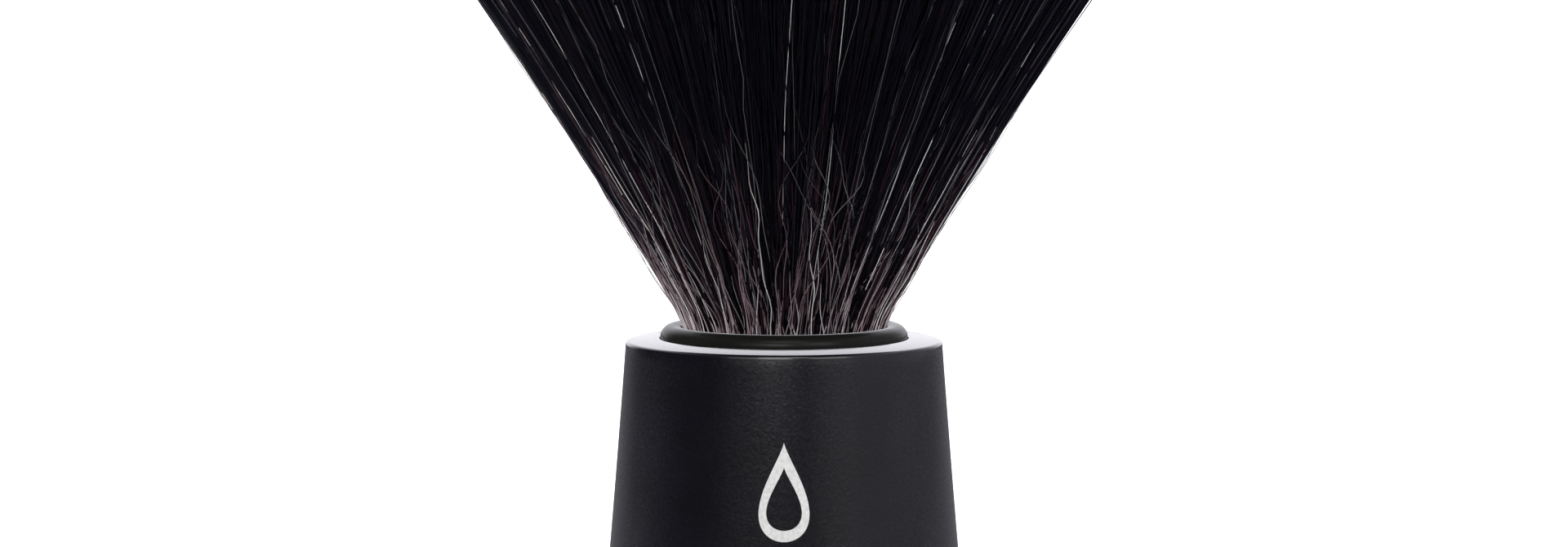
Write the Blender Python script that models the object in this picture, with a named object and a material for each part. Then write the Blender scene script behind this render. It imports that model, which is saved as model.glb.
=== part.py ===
"""A shaving brush with a screw-in knot and a weighted handle, one object for each piece.

Metres, +Z up. The origin is the centre of the foot and the brush's axis is Z. Sizes below are in
millimetres, and turned() scales them. Heights marked "deck" are measured from the handle's flat
top, the deck; all others are measured from the foot.
"""

import math

import bmesh
import bpy

MM = 0.001
MERGE = 0.000001
GAP = 0.3

# handle, heights from the foot
HANDLE_HEIGHT = 44.0
DECK_RADIUS = 16.07
TAPER = 0.0733
FLARE = 0.00028
WALL = 2.4
DECK_THICKNESS = 3.4
DECK_FLAT = 13.2
DECK_FALL = 0.25
DECK_FILLET = 0.4
FOOT_FILLET = 1.5
FOOT_LIFT = 0.9
SHELL_SEGMENTS = 48

# foot and ballast, heights from the foot
PAD_RADIUS = 16.6
PAD_THICKNESS = 1.6
PAD_ROUNDING = 0.4
PLATE_RADIUS = 17.0
PLATE_THICKNESS = 2.5
POST_COUNT = 3
POST_CIRCLE = 14.2
POST_RADIUS = 3.1
POST_LENGTH = 13.5
PILOT_STOP = 3.0
BALLAST_RADIUS = 10.5
BALLAST_HEIGHT = 14.0
CUSHION_THICKNESS = 1.3
CHAMFER = 0.6
SMALL_SCREW = {"head": 2.1, "shank": 1.1, "length": 10.0}
LARGE_SCREW = {"head": 2.9, "shank": 1.5, "length": 12.0}
HEAD_EDGE = 0.3
SCREW_CLEARANCE = 0.42
SCREW_SEGMENTS = 24
POST_SEGMENTS = 20
OVERCUT = 1.0
SLOT_WIDTH = 0.5
SLOT_DEPTH = 0.6

# screw-in knot, heights from the deck
PITCH = 2.5
ROWS_PER_TURN = 6
THREAD_DEPTH = 0.6
THREAD_CLEARANCE = 0.35
THREAD_FADE = 0.8
CUP_THREAD = (-10.3, -3.2)
SLEEVE_THREAD = (-10.9, -4.1)
CUP_BORE = 10.2
CUP_ROOT = 10.7
CUP_NECK = 10.9
CUP_TOP = 0.5
CUP_BOTTOM = -17.2
CUP_FLOOR = 1.6
SLEEVE_RADIUS = 13.3
SLEEVE_BOTTOM = -11.5
RECESS_RADIUS = 12.9
RECESS_DEPTH = 1.7
WASHER_THICKNESS = 0.6
WASHER_BORE = 11.2
THREAD_SEGMENTS = 32
WALL_TOLERANCE = 0.01

# collar, heights from the deck
COLLAR_CENTRE = (11.4, 0.17)
COLLAR_ROLL = 1.18
COLLAR_SKIRT = -0.5
COLLAR_LIP = 10.55
COLLAR_LIP_EDGE = 1.1

# knot of fibres, heights from the deck
ROOT_RADIUS = 9.4
FLARE_START = -3.0
FLARE_END = 4.5
FLARE_BEND = 0.0435
FAN_SLOPE = 0.598
FAN_SPREAD = 0.0011
FAN_WIDEST = 41.0
FAN_TOP = 56.0
TIP_ROUNDING = 1.6
GLUE_RADIUS = 9.8
SPACER_THICKNESS = 1.2
GLUE_THICKNESS = 3.5
GLUE_ROUNDING = 1.5
BINDING_RISE = 1.0
BINDING_HEIGHT = 2.4
BINDING_TURNS = 3
BINDING_DEPTH = 0.5
SIDE_PIVOT = 0.0
SIDE_BALL = 15.7
FRONT_PIVOT = 8.0
FRONT_BALL = 20.0
BALL_GAP = 0.5
KNOT_SEGMENTS = 32
INNER_SEGMENTS = 28

FINISHES = {
    "satin_black": ((0.020, 0.020, 0.026), 0.42, 0.0),
    "gloss_black": ((0.012, 0.012, 0.013), 0.22, 0.0),
    "black_plastic": ((0.022, 0.022, 0.023), 0.5, 0.0),
    "brass": ((0.72, 0.52, 0.22), 0.35, 1.0),
    "steel": ((0.55, 0.55, 0.57), 0.38, 1.0),
    "rubber": ((0.03, 0.03, 0.03), 0.8, 0.0),
    "resin": ((0.36, 0.22, 0.09), 0.3, 0.0),
    "cord": ((0.45, 0.40, 0.33), 0.85, 0.0),
    "fibre": ((0.020, 0.016, 0.022), 0.45, 0.0),
}


def handle_radius(height):
    """Outer radius of the handle at a height above the foot."""
    depth = HANDLE_HEIGHT - height
    return DECK_RADIUS + TAPER * depth + FLARE * depth**2


def knot_radius(height):
    """Outer radius of the bundle of fibres at a height above the deck."""
    if height <= FLARE_START:
        return ROOT_RADIUS
    if height <= FLARE_END:
        return ROOT_RADIUS + FLARE_BEND * (height - FLARE_START) ** 2
    rise = height - FLARE_END
    return knot_radius(FLARE_END) + FAN_SLOPE * rise + FAN_SPREAD * rise**2


def spaced(start, end, count):
    """count + 1 values from start to end."""
    return [start + (end - start) * step / count for step in range(count + 1)]


def arc(centre, radius, start, end, count):
    """Points on an arc from start to end degrees, where 0 points outward and 90 up."""
    turns = [math.radians(angle) for angle in spaced(start, end, count)]
    return [(centre[0] + radius * math.cos(t), centre[1] + radius * math.sin(t)) for t in turns]


def rod(radius, low, high):
    """Outline of a plain round rod."""
    return [(0.0, low), (radius, low), (radius, high), (0.0, high)]


def raised(outline, lift):
    """The same outline, higher by lift."""
    return [(radius, height + lift) for radius, height in outline]


def finish(name):
    """The named material, made once."""
    if name in bpy.data.materials:
        return bpy.data.materials[name]
    colour, roughness, metallic = FINISHES[name]
    material = bpy.data.materials.new(name)
    material.use_nodes = True
    shader = material.node_tree.nodes["Principled BSDF"]
    shader.inputs["Base Color"].default_value = (*colour, 1.0)
    shader.inputs["Roughness"].default_value = roughness
    shader.inputs["Metallic"].default_value = metallic
    return material


def placed(name, work, look, parent=None, at=(0.0, 0.0, 0.0)):
    """Turns a bmesh into an object at a place given in millimetres, under its parent."""
    bmesh.ops.remove_doubles(work, verts=work.verts, dist=MERGE)
    bmesh.ops.recalc_face_normals(work, faces=work.faces)
    mesh = bpy.data.meshes.new(name)
    work.to_mesh(mesh)
    work.free()
    mesh.shade_smooth()
    mesh.set_sharp_from_angle(angle=math.radians(35))
    mesh.materials.append(finish(look))
    piece = bpy.data.objects.new(name, mesh)
    bpy.context.scene.collection.objects.link(piece)
    piece.parent = parent
    piece.location = [value * MM for value in at]
    return piece


def spun(outline, segments):
    """A bmesh of the outline, given as (radius, height) points, spun once about Z."""
    work = bmesh.new()
    points = [work.verts.new((radius * MM, 0.0, height * MM)) for radius, height in outline]
    pairs = list(zip(points, points[1:]))
    if outline[0][0] > 0:
        pairs.append((points[-1], points[0]))
    edges = [work.edges.new(pair) for pair in pairs]
    bmesh.ops.spin(
        work,
        geom=points + edges,
        cent=(0, 0, 0),
        axis=(0, 0, 1),
        angle=math.tau,
        steps=segments,
        use_merge=True,
    )
    return work


def turned(name, outline, look, segments=INNER_SEGMENTS, parent=None, at=(0.0, 0.0, 0.0)):
    """A turned piece. An outline that starts and ends on the axis is solid, any other is a ring."""
    return placed(name, spun(outline, segments), look, parent, at)


def roll_thread(work, wall, stretch, outward):
    """Rolls a rounded right-hand thread into the wall of this radius along the stretch."""
    low, high = stretch
    for vertex in work.verts:
        height = vertex.co.z / MM
        radius = math.hypot(vertex.co.x, vertex.co.y) / MM
        if abs(radius - wall) > WALL_TOLERANCE or not low < height < high:
            continue
        angle = math.atan2(vertex.co.y, vertex.co.x)
        wave = math.cos(math.tau * height / PITCH - angle)
        fade = min(1.0, (height - low) / THREAD_FADE, (high - height) / THREAD_FADE)
        side = 1.0 if outward else -1.0
        shift = fade * THREAD_DEPTH * (1.0 + side * wave) / 2.0
        scale = (radius + side * shift) / radius
        vertex.co.x *= scale
        vertex.co.y *= scale


def thread_rows(stretch):
    """Heights of the rows of a thread, from the bottom up."""
    low, high = stretch
    count = round((high - low) / PITCH * ROWS_PER_TURN)
    return spaced(low, high, count)


def empty(name, height, parent=None):
    """An empty on the brush's axis, for a joint."""
    joint = bpy.data.objects.new(name, None)
    joint.empty_display_size = 0.01
    bpy.context.scene.collection.objects.link(joint)
    joint.parent = parent
    joint.location = (0.0, 0.0, height * MM)
    return joint


def combine(piece, tool, operation):
    """Joins or cuts a piece with a hidden tool shape."""
    tool.hide_render = True
    tool.display_type = "WIRE"
    modifier = piece.modifiers.new(tool.name, "BOOLEAN")
    modifier.operation = operation
    modifier.object = tool
    modifier.solver = "EXACT"


def post_places():
    """Centres of the screw posts."""
    turns = [math.tau * number / POST_COUNT - math.pi / 2 for number in range(POST_COUNT)]
    return [(POST_CIRCLE * math.cos(turn), POST_CIRCLE * math.sin(turn), 0.0) for turn in turns]


def plate_bottom():
    """Height of the plate's underside above the foot."""
    return PAD_THICKNESS + GAP


def plate_top():
    """Height of the plate's top above the foot."""
    return plate_bottom() + PLATE_THICKNESS


def handle_shell():
    """The tapered shell: closed by the deck above, open below, with posts for the plate's screws."""
    underside = HANDLE_HEIGHT - DECK_THICKNESS
    recess = HANDLE_HEIGHT - RECESS_DEPTH
    mouth = CUP_ROOT + THREAD_DEPTH + THREAD_CLEARANCE
    edge_height = HANDLE_HEIGHT - DECK_FALL - DECK_FILLET
    edge = arc((handle_radius(edge_height) - DECK_FILLET, edge_height), DECK_FILLET, 85, 4, 4)
    foot_height = FOOT_LIFT + FOOT_FILLET
    foot = arc((handle_radius(foot_height) - FOOT_FILLET, foot_height), FOOT_FILLET, -4, -90, 3)
    side = [(handle_radius(z), z) for z in spaced(edge_height, foot_height, 5)[1:-1]]
    inside = [(handle_radius(z) - WALL, z) for z in spaced(FOOT_LIFT, underside, 3)]
    outline = [(mouth, underside), (mouth, recess), (RECESS_RADIUS, recess)]
    outline += [(RECESS_RADIUS, HANDLE_HEIGHT), (DECK_FLAT, HANDLE_HEIGHT)] + edge + side + foot + inside
    shell = turned("handle_shell", outline, "satin_black", SHELL_SEGMENTS)
    low = plate_top() + GAP
    high = low + POST_LENGTH
    post = rod(POST_RADIUS, low, high)
    hole = rod(SMALL_SCREW["shank"] + GAP, low - OVERCUT, high - PILOT_STOP)
    for number, place in enumerate(post_places(), 1):
        combine(shell, turned(f"post_shape_{number}", post, "steel", POST_SEGMENTS, at=place), "UNION")
        cutter = turned(f"pilot_cutter_{number}", hole, "steel", POST_SEGMENTS, at=place)
        combine(shell, cutter, "DIFFERENCE")
    return shell


def thread_sleeve():
    """The threaded insert that is bonded in under the deck."""
    wall = CUP_ROOT + THREAD_DEPTH + THREAD_CLEARANCE
    top = -DECK_THICKNESS - GAP
    outline = [(wall, SLEEVE_BOTTOM)] + [(wall, height) for height in thread_rows(SLEEVE_THREAD)]
    outline += [(wall, top), (SLEEVE_RADIUS, top), (SLEEVE_RADIUS, SLEEVE_BOTTOM)]
    work = spun(outline, THREAD_SEGMENTS)
    roll_thread(work, wall, SLEEVE_THREAD, outward=False)
    return placed("thread_sleeve", work, "brass", at=(0.0, 0.0, HANDLE_HEIGHT))


def countersunk(screw, bottom, top, clearance=0.0):
    """Outline of a countersunk screw from its head at the bottom, or of its hole with clearance."""
    head = screw["head"] + clearance
    shank = screw["shank"] + clearance
    cone = plate_bottom() + GAP + HEAD_EDGE
    lower = [(0.0, bottom), (head, bottom), (head, cone)]
    return lower + [(shank, cone + head - shank), (shank, top), (0.0, top)]


def countersunk_screw(name, screw, at=(0.0, 0.0, 0.0)):
    """A slotted countersunk screw, head down, seated in the plate."""
    bottom = plate_bottom() + GAP
    outline = countersunk(screw, bottom, bottom + screw["length"])
    piece = turned(name, outline, "steel", SCREW_SEGMENTS, at=at)
    work = bmesh.new()
    bmesh.ops.create_cube(work, size=1.0)
    size = (screw["head"] * 3 * MM, SLOT_WIDTH * MM, SLOT_DEPTH * 2 * MM)
    bmesh.ops.scale(work, vec=size, verts=work.verts)
    slot = placed(f"slot_cutter_{name}", work, "steel", at=(at[0], at[1], bottom))
    combine(piece, slot, "DIFFERENCE")
    return piece


def base_plate():
    """The disc that closes the handle's foot, with countersunk holes."""
    low, high = plate_bottom(), plate_top()
    plate = turned("base_plate", rod(PLATE_RADIUS, low, high), "black_plastic", SHELL_SEGMENTS)
    holes = [(LARGE_SCREW, (0.0, 0.0, 0.0))] + [(SMALL_SCREW, place) for place in post_places()]
    for number, (screw, place) in enumerate(holes):
        hole = countersunk(screw, low - OVERCUT, high + OVERCUT, SCREW_CLEARANCE)
        cutter = turned(f"hole_cutter_{number}", hole, "steel", SCREW_SEGMENTS, at=place)
        combine(plate, cutter, "DIFFERENCE")
    return plate


def foot_pad():
    """The rubber disc that the brush stands on."""
    round_edge = arc((PAD_RADIUS - PAD_ROUNDING, PAD_ROUNDING), PAD_ROUNDING, -90, 0, 3)
    outline = [(0.0, 0.0)] + round_edge + [(PAD_RADIUS, PAD_THICKNESS), (0.0, PAD_THICKNESS)]
    return turned("foot_pad", outline, "rubber", SHELL_SEGMENTS)


def ballast_pad():
    """The washer of rubber between the plate and the ballast."""
    low = plate_top() + GAP
    hole = LARGE_SCREW["shank"] + SCREW_CLEARANCE
    high = low + CUSHION_THICKNESS
    outline = [(hole, low), (BALLAST_RADIUS, low), (BALLAST_RADIUS, high), (hole, high)]
    return turned("ballast_pad", outline, "rubber")


def ballast_weight():
    """The steel slug, with a blind hole for the screw that holds it to the plate."""
    low = plate_top() + CUSHION_THICKNESS + 2 * GAP
    high = low + BALLAST_HEIGHT
    hole = LARGE_SCREW["shank"] + SCREW_CLEARANCE
    hole_top = plate_bottom() + LARGE_SCREW["length"] + 2 * OVERCUT
    outline = [(0.0, hole_top), (hole, hole_top), (hole, low), (BALLAST_RADIUS - CHAMFER, low)]
    outline += [(BALLAST_RADIUS, low + CHAMFER), (BALLAST_RADIUS, high - CHAMFER)]
    outline += [(BALLAST_RADIUS - CHAMFER, high), (0.0, high)]
    return turned("ballast_weight", outline, "steel")


def seal_washer():
    """The flat washer under the collar, in the deck's recess."""
    low = -RECESS_DEPTH + GAP
    high = low + WASHER_THICKNESS
    outer = RECESS_RADIUS - 2 * GAP
    outline = [(WASHER_BORE, low), (outer, low), (outer, high), (WASHER_BORE, high)]
    return turned("seal_washer", outline, "rubber", KNOT_SEGMENTS, at=(0.0, 0.0, HANDLE_HEIGHT))


def collar_ring(head):
    """The rolled ring around the mouth of the cup. Its lip reaches in over the cup's rim."""
    bore = CUP_NECK + GAP
    under_lip = CUP_TOP + GAP
    roll = arc(COLLAR_CENTRE, COLLAR_ROLL, 0, 90, 6)
    inner_roll = COLLAR_CENTRE[0] - COLLAR_LIP
    drop = COLLAR_CENTRE[1] + COLLAR_ROLL - COLLAR_LIP_EDGE
    turns = [math.radians(angle) for angle in (30, 60, 90)]
    lip = [
        (COLLAR_CENTRE[0] - inner_roll * math.sin(t), COLLAR_LIP_EDGE + drop * math.cos(t))
        for t in turns
    ]
    outline = [(bore, COLLAR_SKIRT), (roll[0][0], COLLAR_SKIRT)] + roll + lip
    outline += [(COLLAR_LIP, under_lip), (bore, under_lip)]
    return turned("collar_ring", outline, "gloss_black", SHELL_SEGMENTS, head)


def knot_cup(head):
    """The threaded cup that holds the knot."""
    wall_foot = CUP_BOTTOM + CHAMFER
    floor = CUP_BOTTOM + CUP_FLOOR
    outline = [(0.0, CUP_BOTTOM), (CUP_ROOT - CHAMFER, CUP_BOTTOM), (CUP_ROOT, wall_foot)]
    outline += [(CUP_ROOT, height) for height in thread_rows(CUP_THREAD)]
    outline += [(CUP_NECK, CUP_THREAD[1] + CHAMFER), (CUP_NECK, CUP_TOP)]
    outline += [(CUP_BORE, CUP_TOP), (CUP_BORE, floor), (0.0, floor)]
    work = spun(outline, THREAD_SEGMENTS)
    roll_thread(work, CUP_ROOT, CUP_THREAD, outward=True)
    return placed("knot_cup", work, "black_plastic", head)


def loft_spacer(head):
    """The disc in the bottom of the cup that sets the height of the knot."""
    low = CUP_BOTTOM + CUP_FLOOR + GAP
    high = low + SPACER_THICKNESS
    return turned("loft_spacer", rod(GLUE_RADIUS, low, high), "black_plastic", parent=head)


def glue_bottom():
    """Height of the resin's underside, from the deck."""
    return CUP_BOTTOM + CUP_FLOOR + SPACER_THICKNESS + 2 * GAP


def root_bottom():
    """Height of the fibres' lower ends, from the deck."""
    return glue_bottom() + GLUE_THICKNESS + GAP


def glue_plug(head):
    """The puck of resin that the fibres are set in."""
    low = glue_bottom()
    high = low + GLUE_THICKNESS
    edge = arc((GLUE_RADIUS - GLUE_ROUNDING, low + GLUE_ROUNDING), GLUE_ROUNDING, -90, 0, 4)
    outline = [(0.0, low)] + edge + [(GLUE_RADIUS, high), (0.0, high)]
    return turned("glue_plug", outline, "resin", parent=head)


def binding_bottom():
    """Height of the binding's underside, from the deck."""
    return root_bottom() + BINDING_RISE


def root_binding(head):
    """The turns of cord that hold the fibres together above the resin."""
    turn = BINDING_HEIGHT / BINDING_TURNS
    low = binding_bottom()
    inner = ROOT_RADIUS - BINDING_DEPTH
    outline = [(inner, low + BINDING_HEIGHT), (inner, low)]
    for number in range(BINDING_TURNS):
        middle = (ROOT_RADIUS, low + turn * (number + 0.5))
        outline += arc(middle, turn / 2, -75, 75, 3)
    return turned("root_binding", outline, "cord", KNOT_SEGMENTS, head)


def ball_crossing(pivot, ball):
    """Height at which the bundle's side crosses a ball about the pivot."""
    low, high = pivot, pivot + ball
    for _ in range(40):
        middle = (low + high) / 2
        if math.hypot(knot_radius(middle), middle - pivot) < ball:
            low = middle
        else:
            high = middle
    return low


def ball_face(pivot, ball, count=6):
    """Points on a ball about the pivot, from the bundle's side up to the axis."""
    height = ball_crossing(pivot, ball)
    start = math.degrees(math.atan2(height - pivot, knot_radius(height)))
    return arc((0.0, pivot), ball, start, 90, count)[:-1] + [(0.0, pivot + ball)]


def bundle_side(low, high, count):
    """Points up the bundle's side."""
    return [(knot_radius(height), height) for height in spaced(low, high, count)]


def knot_root(head):
    """The fibres from the resin up to the first bend, waisted for the binding."""
    groove = ROOT_RADIUS - BINDING_DEPTH - GAP
    low, high = binding_bottom() - GAP, binding_bottom() + BINDING_HEIGHT + GAP
    outline = [(0.0, root_bottom()), (ROOT_RADIUS, root_bottom()), (ROOT_RADIUS, low), (groove, low)]
    outline += [(groove, high), (ROOT_RADIUS, high)]
    outline += bundle_side(FLARE_START, ball_crossing(SIDE_PIVOT, SIDE_BALL), 6)[:-1]
    outline += ball_face(SIDE_PIVOT, SIDE_BALL)
    return turned("knot_root", outline, "fibre", KNOT_SEGMENTS, head)


def knot_waist(joint):
    """The fibres between the two bends."""
    under = ball_face(SIDE_PIVOT, SIDE_BALL + BALL_GAP)
    low = ball_crossing(SIDE_PIVOT, SIDE_BALL + BALL_GAP)
    side = bundle_side(low, ball_crossing(FRONT_PIVOT, FRONT_BALL), 3)[1:-1]
    outline = under[::-1] + side + ball_face(FRONT_PIVOT, FRONT_BALL)
    return turned("knot_waist", raised(outline, -SIDE_PIVOT), "fibre", KNOT_SEGMENTS, joint)


def knot_fan(joint):
    """The fibres above the bends, out to the rounded dome of their tips."""
    under = ball_face(FRONT_PIVOT, FRONT_BALL + BALL_GAP)
    low = ball_crossing(FRONT_PIVOT, FRONT_BALL + BALL_GAP)
    side = bundle_side(low, FAN_WIDEST, 5)[1:]
    middle = (knot_radius(FAN_WIDEST) - TIP_ROUNDING, FAN_WIDEST)
    rounding = arc(middle, TIP_ROUNDING, 20, 60, 2)
    shoulder, crown = rounding[-1]
    turns = [math.radians(angle) for angle in spaced(0, 90, 6)][1:-1]
    dome = [(shoulder * math.cos(t), crown + (FAN_TOP - crown) * math.sin(t)) for t in turns]
    outline = under[::-1] + side + rounding + dome + [(0.0, FAN_TOP)]
    return turned("knot_fan", raised(outline, -FRONT_PIVOT), "fibre", KNOT_SEGMENTS, joint)


def build():
    """Builds the brush from the foot up."""
    for leftover in list(bpy.data.objects):
        bpy.data.objects.remove(leftover)
    handle_shell()
    thread_sleeve()
    base_plate()
    foot_pad()
    ballast_pad()
    ballast_weight()
    countersunk_screw("ballast_screw", LARGE_SCREW)
    for number, place in enumerate(post_places(), 1):
        countersunk_screw(f"base_screw_{number}", SMALL_SCREW, place)
    seal_washer()
    head = empty("head_axis", HANDLE_HEIGHT)
    for make in (collar_ring, knot_cup, loft_spacer, glue_plug, root_binding, knot_root):
        make(head)
    side_joint = empty("side_bend_axis", SIDE_PIVOT, head)
    knot_waist(side_joint)
    knot_fan(empty("front_bend_axis", FRONT_PIVOT - SIDE_PIVOT, side_joint))


build()
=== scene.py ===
"""Looks of a shaving brush: a satin black handle, a glossy collar and a wide fan of dark fibres.

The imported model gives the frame. The pieces below are drawn round it in millimetres, with heights
measured from the deck, the handle's flat top, and Shop.point turns them into the frame's metres.
"""

from __future__ import annotations

import logging
import math
from collections.abc import Callable, Iterable, Sequence
from dataclasses import dataclass, field, replace
from enum import Enum

import bmesh
import bpy
import numpy as np
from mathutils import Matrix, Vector


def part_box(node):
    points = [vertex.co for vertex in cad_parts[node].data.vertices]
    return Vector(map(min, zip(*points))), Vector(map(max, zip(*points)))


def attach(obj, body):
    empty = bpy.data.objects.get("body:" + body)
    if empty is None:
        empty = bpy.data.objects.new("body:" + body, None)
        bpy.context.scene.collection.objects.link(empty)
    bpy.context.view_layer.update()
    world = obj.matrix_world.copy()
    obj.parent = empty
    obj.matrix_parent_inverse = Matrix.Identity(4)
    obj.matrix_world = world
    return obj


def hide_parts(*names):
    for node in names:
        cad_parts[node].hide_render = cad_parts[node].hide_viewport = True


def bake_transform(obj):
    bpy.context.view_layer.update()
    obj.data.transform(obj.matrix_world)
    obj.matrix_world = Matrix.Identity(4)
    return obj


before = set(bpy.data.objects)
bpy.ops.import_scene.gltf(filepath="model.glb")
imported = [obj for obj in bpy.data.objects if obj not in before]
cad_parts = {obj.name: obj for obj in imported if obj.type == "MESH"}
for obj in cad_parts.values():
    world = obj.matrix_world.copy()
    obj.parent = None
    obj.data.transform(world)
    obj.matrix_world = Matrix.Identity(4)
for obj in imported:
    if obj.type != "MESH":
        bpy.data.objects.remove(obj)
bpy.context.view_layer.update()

LOG = logging.getLogger("shaving_brush")
MM = 0.001
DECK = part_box("handle_shell")[1].z / MM

MIX_COLOUR_INPUTS = (0, 6, 7)
MIX_COLOUR_OUTPUT = 2

Span = tuple[float, float]
Colour = tuple[float, float, float]
Stretch = tuple[float, float, float]
Outline = list[Span]
Sockets = dict[str | int, object]
Arrays = tuple[np.ndarray, np.ndarray]

BLACK: Colour = (0.0, 0.0, 0.0)
WHITE: Colour = (1.0, 1.0, 1.0)


class Body(str, Enum):
    """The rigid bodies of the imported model."""

    HANDLE = "handle"
    WASHER = "washer"
    HEAD = "head"
    LOWER_KNOT = "lower_knot"
    UPPER_KNOT = "upper_knot"


# ---------------------------------------------------------------- shader graph


class Value:
    """A socket that can be used in sums."""

    def __init__(self, recipe: "Recipe", socket: bpy.types.NodeSocket) -> None:
        """Wraps an output socket. New Math nodes go into the recipe's graph."""
        self.recipe = recipe
        self.socket = socket

    def _math(self, operation: str, first: object, second: object) -> "Value":
        """Adds one Math node for Blender's name of an operation."""
        return self.recipe.node("ShaderNodeMath", {"operation": operation}, {0: first, 1: second})

    def __add__(self, other: object) -> "Value":
        """self + other."""
        return self._math("ADD", self, other)

    __radd__ = __add__

    def __sub__(self, other: object) -> "Value":
        """self - other."""
        return self._math("SUBTRACT", self, other)

    def __rsub__(self, other: object) -> "Value":
        """other - self."""
        return self._math("SUBTRACT", other, self)

    def __mul__(self, other: object) -> "Value":
        """self * other."""
        return self._math("MULTIPLY", self, other)

    __rmul__ = __mul__

    def spread(self, low: float, high: float, start: float = 0.0, end: float = 1.0) -> "Value":
        """Maps low..high onto start..end, and holds it there."""
        sockets = {"Value": self, "From Min": low, "From Max": high, "To Min": start, "To Max": end}
        return self.recipe.node("ShaderNodeMapRange", {"clamp": True}, sockets)


class Recipe:
    """A node tree under construction."""

    def __init__(self, tree: bpy.types.NodeTree) -> None:
        """Starts on the node tree of a material or a world."""
        self.tree = tree

    def feed(self, socket: bpy.types.NodeSocket, value: object) -> None:
        """Links a value to a socket, or sets the socket's number or colour.

        Args:
            socket: The input socket.
            value: A Value, a number, or a colour or vector.
        """
        if isinstance(value, Value):
            self.tree.links.new(value.socket, socket)
        elif isinstance(value, tuple) and len(value) == 3 and socket.type == "RGBA":
            socket.default_value = (*value, 1.0)
        else:
            socket.default_value = value

    def node(
        self, kind: str, settings: dict[str, object], sockets: Sockets, output: int | str = 0
    ) -> Value:
        """Adds any node: its settings first, then its sockets.

        Args:
            kind: The node's type.
            settings: Its properties.
            sockets: Values, numbers or colours by socket name or number.
            output: Which output to return.

        Returns:
            The chosen output.
        """
        made = self.tree.nodes.new(kind)
        for name, setting in settings.items():
            setattr(made, name, setting)
        for name, value in sockets.items():
            self.feed(made.inputs[name], value)
        return Value(self, made.outputs[output])

    def mix(self, share: object, first: object, second: object) -> Value:
        """A blend of two colours.

        Args:
            share: How much of the second there is, from 0 to 1.
            first: A colour.
            second: A colour.

        Returns:
            The blended colour.
        """
        made = self.tree.nodes.new("ShaderNodeMix")
        made.data_type = "RGBA"
        for number, value in zip(MIX_COLOUR_INPUTS, (share, first, second)):
            self.feed(made.inputs[number], value)
        return Value(self, made.outputs[MIX_COLOUR_OUTPUT])

    def place(self, stretch: Stretch = (1.0, 1.0, 1.0)) -> Value:
        """The object's own coordinates, in metres, stretched along each axis.

        Args:
            stretch: The factor for each axis.

        Returns:
            The coordinates.
        """
        place = self.node("ShaderNodeTexCoord", {}, {}, "Object")
        scaled = {"operation": "MULTIPLY"}
        return self.node("ShaderNodeVectorMath", scaled, {0: place, 1: stretch})

    def noise(self, size_mm: float, detail: float = 2.0, place: Value | None = None) -> Value:
        """Soft noise with features of about this size.

        Args:
            size_mm: The size of a feature.
            detail: Octaves of finer noise.
            place: Coordinates in metres, or None for the object's own.

        Returns:
            A value from 0 to 1.
        """
        place = place or self.place()
        sockets = {
            "Vector": place,
            "Scale": 1.0 / (size_mm * MM),
            "Detail": detail,
            "Roughness": 0.55,
        }
        return self.node("ShaderNodeTexNoise", {}, sockets)

    def bump(self, height: Value, depth_mm: float) -> Value:
        """The normal of a bump, where a height of 1 stands for depth_mm."""
        sockets = {"Height": height, "Distance": depth_mm * MM, "Strength": 1.0}
        return self.node("ShaderNodeBump", {}, sockets)


@dataclass(frozen=True)
class Finish:
    """A finish with constants on the shader's own sockets. A subclass adds what varies."""

    name: str
    colour: Colour
    roughness: float
    metallic: float = 0.0
    specular: float = 0.5
    coat: float = 0.0
    coat_roughness: float = 0.2

    def vary(self, recipe: Recipe) -> Sockets:
        """What changes over the surface, by the shader's socket. A plain finish has nothing."""
        return {}

    def material(self) -> bpy.types.Material:
        """The material, made once."""
        if self.name in bpy.data.materials:
            return bpy.data.materials[self.name]
        made = bpy.data.materials.new(self.name)
        made.use_nodes = True
        made.diffuse_color = (*self.colour, 1.0)
        recipe = Recipe(made.node_tree)
        shader = made.node_tree.nodes["Principled BSDF"]
        constants: Sockets = {
            "Base Color": self.colour,
            "Roughness": self.roughness,
            "Metallic": self.metallic,
            "Specular IOR Level": self.specular,
            "Coat Weight": self.coat,
            "Coat Roughness": self.coat_roughness,
        }
        for name, value in {**constants, **self.vary(recipe)}.items():
            recipe.feed(shader.inputs[name], value)
        return made


@dataclass(frozen=True)
class Lacquer(Finish):
    """Satin black with faint cloudiness and a fine orange peel that fades out below the deck."""

    cloud_mm: float = 9.0
    cloud_paler: float = 1.7
    peel_mm: float = 0.34
    fine_mm: float = 0.10625
    peel_depth_mm: float = 0.034
    fade: Span = (-1.2, -0.5)

    def vary(self, recipe: Recipe) -> Sockets:
        """Cloudy tone, uneven sheen and the peel."""
        cloud = recipe.noise(self.cloud_mm, 3.0)
        speck = recipe.noise(self.peel_mm, 2.0)
        fine = recipe.noise(self.fine_mm, 1.0)
        lighter = tuple(channel * self.cloud_paler for channel in self.colour)
        height = recipe.node("ShaderNodeSeparateXYZ", {}, {0: recipe.place()}, "Z")
        low, high = ((DECK + edge) * MM for edge in self.fade)
        share = height.spread(low, high, 1.0, 0.0)
        uneven = (speck - 0.5) * share
        peel = (speck * 0.7 + fine * 0.3) * share
        return {
            "Base Color": recipe.mix(cloud.spread(0.35, 0.7), self.colour, lighter),
            "Roughness": uneven.spread(-0.2, 0.2, self.roughness - 0.05, self.roughness + 0.06),
            "Normal": recipe.bump(peel, self.peel_depth_mm),
        }


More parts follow.
